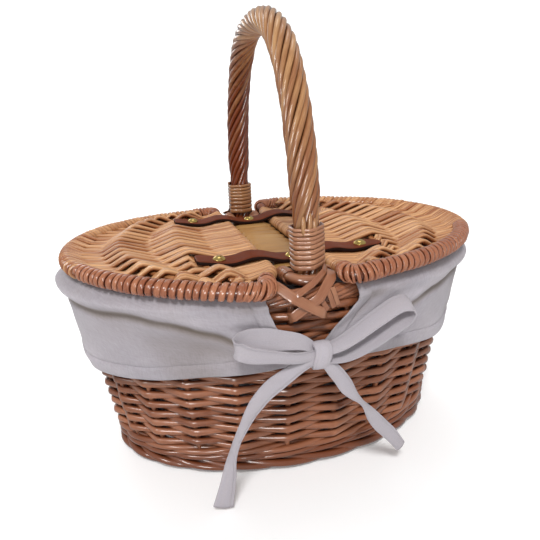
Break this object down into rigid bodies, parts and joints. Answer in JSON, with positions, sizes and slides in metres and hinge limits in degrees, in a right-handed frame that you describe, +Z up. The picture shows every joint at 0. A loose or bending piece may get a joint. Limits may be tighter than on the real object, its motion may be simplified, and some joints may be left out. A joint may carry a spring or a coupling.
{
  "type": "hamper basket",
  "caption": "Oval woven willow hamper with a fixed twisted hoop handle, a pair of half-oval lids on leather strap hinges, and a tied cotton liner.",
  "frame": {"origin": "middle of the oval foot on the plane that the basket stands on", "axes": "+X along the oval towards the right lid, +Y towards the back, +Z up"},
  "size_m": [0.3294, 0.261, 0.3351],
  "materials": {
    "willow": "buff willow under clear varnish, glossy reddish brown",
    "pale_willow": "split willow skein, satin honey colour",
    "leather": "smooth dark red-brown leather with black edges",
    "brass": "polished domed rivet",
    "cotton": "plain-woven unbleached cotton, matte"
  },
  "bodies": {
    "basket": {"foot_border": "willow", "base_sticks": "willow", "base_weave": "willow", "upset_wale": "willow", "side_weave": "willow", "rim_border": "willow", "handle_bow": "willow", "handle_twist": "willow", "front_collar": "willow", "rear_collar": "willow", "front_lashing": "willow", "rear_lashing": "willow", "bar_cane_loop": "willow", "bar_wrap": "pale_willow", "bar_front_strap": "leather", "bar_rear_strap": "leather", "bar_front_rivet": "brass", "bar_rear_rivet": "brass", "liner": "cotton", "front_bow_knot": "cotton", "front_bow_left_loop": "cotton", "front_bow_right_loop": "cotton", "front_bow_left_tail": "cotton", "front_bow_right_tail": "cotton", "rear_bow_knot": "cotton", "rear_bow_left_loop": "cotton", "rear_bow_right_loop": "cotton", "rear_bow_left_tail": "cotton", "rear_bow_right_tail": "cotton"},
    "left_lid": {"left_lid_hoop": "willow", "left_lid_weave": "willow", "left_lid_front_strap": "leather", "left_lid_rear_strap": "leather", "left_lid_front_rivet": "brass", "left_lid_rear_rivet": "brass"},
    "right_lid": {"right_lid_hoop": "willow", "right_lid_weave": "willow", "right_lid_front_strap": "leather", "right_lid_rear_strap": "leather", "right_lid_front_rivet": "brass", "right_lid_rear_rivet": "brass"}
  },
  "joints": [
    {"name": "left_lid_hinge", "type": "hinge", "parent": "basket", "child": "left_lid", "pos_m": [-0.01689, 0, 0.16726], "axis": [0, 1, 0], "range_deg": [0, 92]},
    {"name": "right_lid_hinge", "type": "hinge", "parent": "basket", "child": "right_lid", "pos_m": [0.01689, 0, 0.16726], "axis": [0, -1, 0], "range_deg": [0, 92]}
  ]
}
